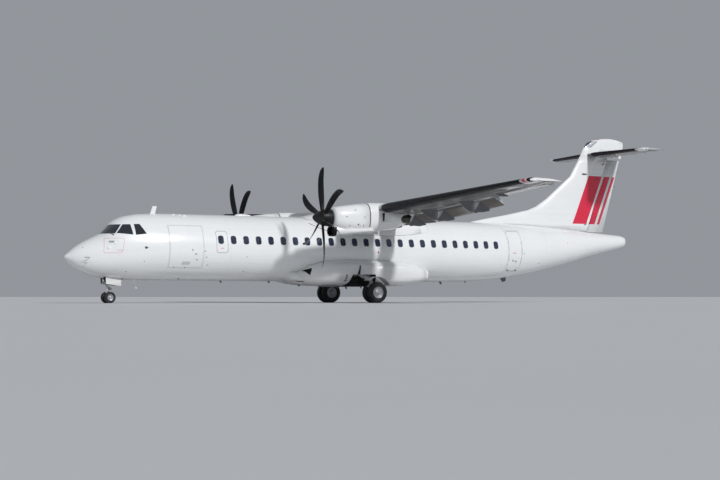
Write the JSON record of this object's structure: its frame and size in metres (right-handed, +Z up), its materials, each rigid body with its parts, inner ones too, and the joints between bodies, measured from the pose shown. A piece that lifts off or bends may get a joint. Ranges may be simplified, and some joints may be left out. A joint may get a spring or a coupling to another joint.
{
  "type": "turboprop airliner",
  "caption": "High-wing twin-propeller regional airliner with a T tail, parked on its landing gear with flaps lowered.",
  "frame": {"origin": "on the floor under the middle of the aircraft: half way along its length and on its centre plane, at the bottom of the tyres", "axes": "+X aft towards the tail, +Y to starboard, +Z up"},
  "size_m": [27.166, 27.05, 7.65],
  "materials": {
    "white_paint": "gloss",
    "grey_paint": "satin",
    "black_composite": "satin",
    "cockpit_glass": "gloss",
    "tyre_rubber": "matte",
    "gear_steel": "satin"
  },
  "bodies": {
    "airframe": {"radome": "white_paint", "nose_section": "white_paint", "cabin_front": "white_paint", "cabin_centre": "white_paint", "cabin_rear": "white_paint", "tail_section": "white_paint", "windscreen_left": "cockpit_glass", "windscreen_right": "cockpit_glass", "side_window_front_left": "cockpit_glass", "side_window_front_right": "cockpit_glass", "side_window_rear_left": "cockpit_glass", "side_window_rear_right": "cockpit_glass", "service_door": "white_paint", "emergency_exit_left": "white_paint", "emergency_exit_right": "white_paint", "wing_centre": "grey_paint", "wing_left": "grey_paint", "wing_right": "grey_paint", "wing_fairing": "white_paint", "belly_fairing": "white_paint", "gear_fairing_left": "white_paint", "gear_fairing_right": "white_paint", "cowl_left": "white_paint", "cowl_right": "white_paint", "nacelle_rear_left": "white_paint", "nacelle_rear_right": "white_paint", "engine_left": "gear_steel", "engine_right": "gear_steel", "fin": "white_paint", "tailplane": "white_paint", "main_gear_leg_left": "gear_steel", "main_gear_leg_right": "gear_steel", "main_gear_door_left": "white_paint", "main_gear_door_right": "white_paint", "nose_gear_leg": "gear_steel", "nose_gear_door_left": "white_paint", "nose_gear_door_right": "white_paint", "tail_bumper": "grey_paint"},
    "cargo_door": {"cargo_door": "white_paint"},
    "passenger_door": {"passenger_door": "white_paint"},
    "propeller_left": {"spinner_left": "black_composite", "propeller_left": "black_composite"},
    "propeller_right": {"spinner_right": "black_composite", "propeller_right": "black_composite"},
    "nose_steering": {"nose_gear_fork": "gear_steel"},
    "nose_wheels": {"nose_wheels": "tyre_rubber"},
    "main_wheels_left": {"main_wheels_left": "tyre_rubber"},
    "main_wheels_right": {"main_wheels_right": "tyre_rubber"},
    "rudder": {"rudder": "white_paint"},
    "elevator_left": {"elevator_left": "grey_paint"},
    "elevator_right": {"elevator_right": "grey_paint"},
    "aileron_left": {"aileron_left": "grey_paint"},
    "aileron_right": {"aileron_right": "grey_paint"},
    "flap_inner_left": {"flap_inner_left": "grey_paint"},
    "flap_inner_right": {"flap_inner_right": "grey_paint"},
    "flap_outer_left": {"flap_outer_left": "grey_paint"},
    "flap_outer_right": {"flap_outer_right": "grey_paint"}
  },
  "joints": [
    {"name": "cargo_door_hinge", "type": "hinge", "parent": "airframe", "child": "cargo_door", "pos_m": [-9.083, -1.094, 3.066], "axis": [-0.999, 0.0443, 0], "range_deg": [0, 95]},
    {"name": "passenger_door_hinge", "type": "hinge", "parent": "airframe", "child": "passenger_door", "pos_m": [6.592, -0.87, 1.355], "axis": [0.995, 0.1002, 0], "range_deg": [0, 130]},
    {"name": "propeller_spin_left", "type": "hinge", "parent": "airframe", "child": "propeller_left", "pos_m": [-4.493, -4.05, 3.34], "axis": [1, 0, 0], "continuous": true},
    {"name": "propeller_spin_right", "type": "hinge", "parent": "airframe", "child": "propeller_right", "pos_m": [-4.493, 4.05, 3.34], "axis": [1, 0, 0], "continuous": true},
    {"name": "nose_wheel_steering", "type": "hinge", "parent": "airframe", "child": "nose_steering", "pos_m": [-11.863, 0, 0.5], "axis": [0, 0, 1], "range_deg": [-60, 60]},
    {"name": "nose_wheel_spin", "type": "hinge", "parent": "nose_steering", "child": "nose_wheels", "pos_m": [-11.813, 0, 0.225], "axis": [0, 1, 0], "continuous": true},
    {"name": "main_wheel_spin_left", "type": "hinge", "parent": "airframe", "child": "main_wheels_left", "pos_m": [-1.043, -2.05, 0.43], "axis": [0, 1, 0], "continuous": true},
    {"name": "main_wheel_spin_right", "type": "hinge", "parent": "airframe", "child": "main_wheels_right", "pos_m": [-1.043, 2.05, 0.43], "axis": [0, 1, 0], "continuous": true},
    {"name": "rudder_hinge", "type": "hinge", "parent": "airframe", "child": "rudder", "pos_m": [11.387, 0, 3.18], "axis": [0.3276, 0, 0.9448], "range_deg": [-27, 27]},
    {"name": "elevator_hinge_left", "type": "hinge", "parent": "airframe", "child": "elevator_left", "pos_m": [12.6116, -0.43, 6.86], "axis": [0.0218, 0.9998, 0], "range_deg": [-23, 13]},
    {"name": "elevator_hinge_right", "type": "hinge", "parent": "airframe", "child": "elevator_right", "pos_m": [12.6116, 0.43, 6.86], "axis": [-0.0218, 0.9998, 0], "range_deg": [-23, 13]},
    {"name": "aileron_hinge_left", "type": "hinge", "parent": "airframe", "child": "aileron_left", "pos_m": [-0.3062, -9.56, 4.058], "axis": [-0.0158, 0.9975, -0.0685], "range_deg": [-14, 14]},
    {"name": "aileron_hinge_right", "type": "hinge", "parent": "airframe", "child": "aileron_right", "pos_m": [-0.3062, 9.56, 4.058], "axis": [0.0158, 0.9975, 0.0685], "range_deg": [-14, 14]},
    {"name": "flap_hinge_inner_left", "type": "hinge", "parent": "airframe", "child": "flap_inner_left", "pos_m": [-0.3004, -1.22, 3.1812], "axis": [0.0018, 1, -0.005], "range_deg": [-33, 2]},
    {"name": "flap_hinge_inner_right", "type": "hinge", "parent": "airframe", "child": "flap_inner_right", "pos_m": [-0.3004, 1.22, 3.1812], "axis": [-0.0018, 1, 0.005], "range_deg": [-33, 2]},
    {"name": "flap_hinge_outer_left", "type": "hinge", "parent": "airframe", "child": "flap_outer_left", "pos_m": [-0.3057, -4.65, 3.202], "axis": [-0.013, 0.997, -0.0766], "range_deg": [-33, 2]},
    {"name": "flap_hinge_outer_right", "type": "hinge", "parent": "airframe", "child": "flap_outer_right", "pos_m": [-0.3057, 4.65, 3.202], "axis": [0.013, 0.997, 0.0766], "range_deg": [-33, 2]}
  ],
  "couplings": [
    {"joint": "elevator_hinge_right", "follows": "elevator_hinge_left", "ratio": 1},
    {"joint": "aileron_hinge_right", "follows": "aileron_hinge_left", "ratio": -1},
    {"joint": "flap_hinge_inner_right", "follows": "flap_hinge_inner_left", "ratio": 1},
    {"joint": "flap_hinge_outer_left", "follows": "flap_hinge_inner_left", "ratio": 1},
    {"joint": "flap_hinge_outer_right", "follows": "flap_hinge_inner_left", "ratio": 1}
  ]
}
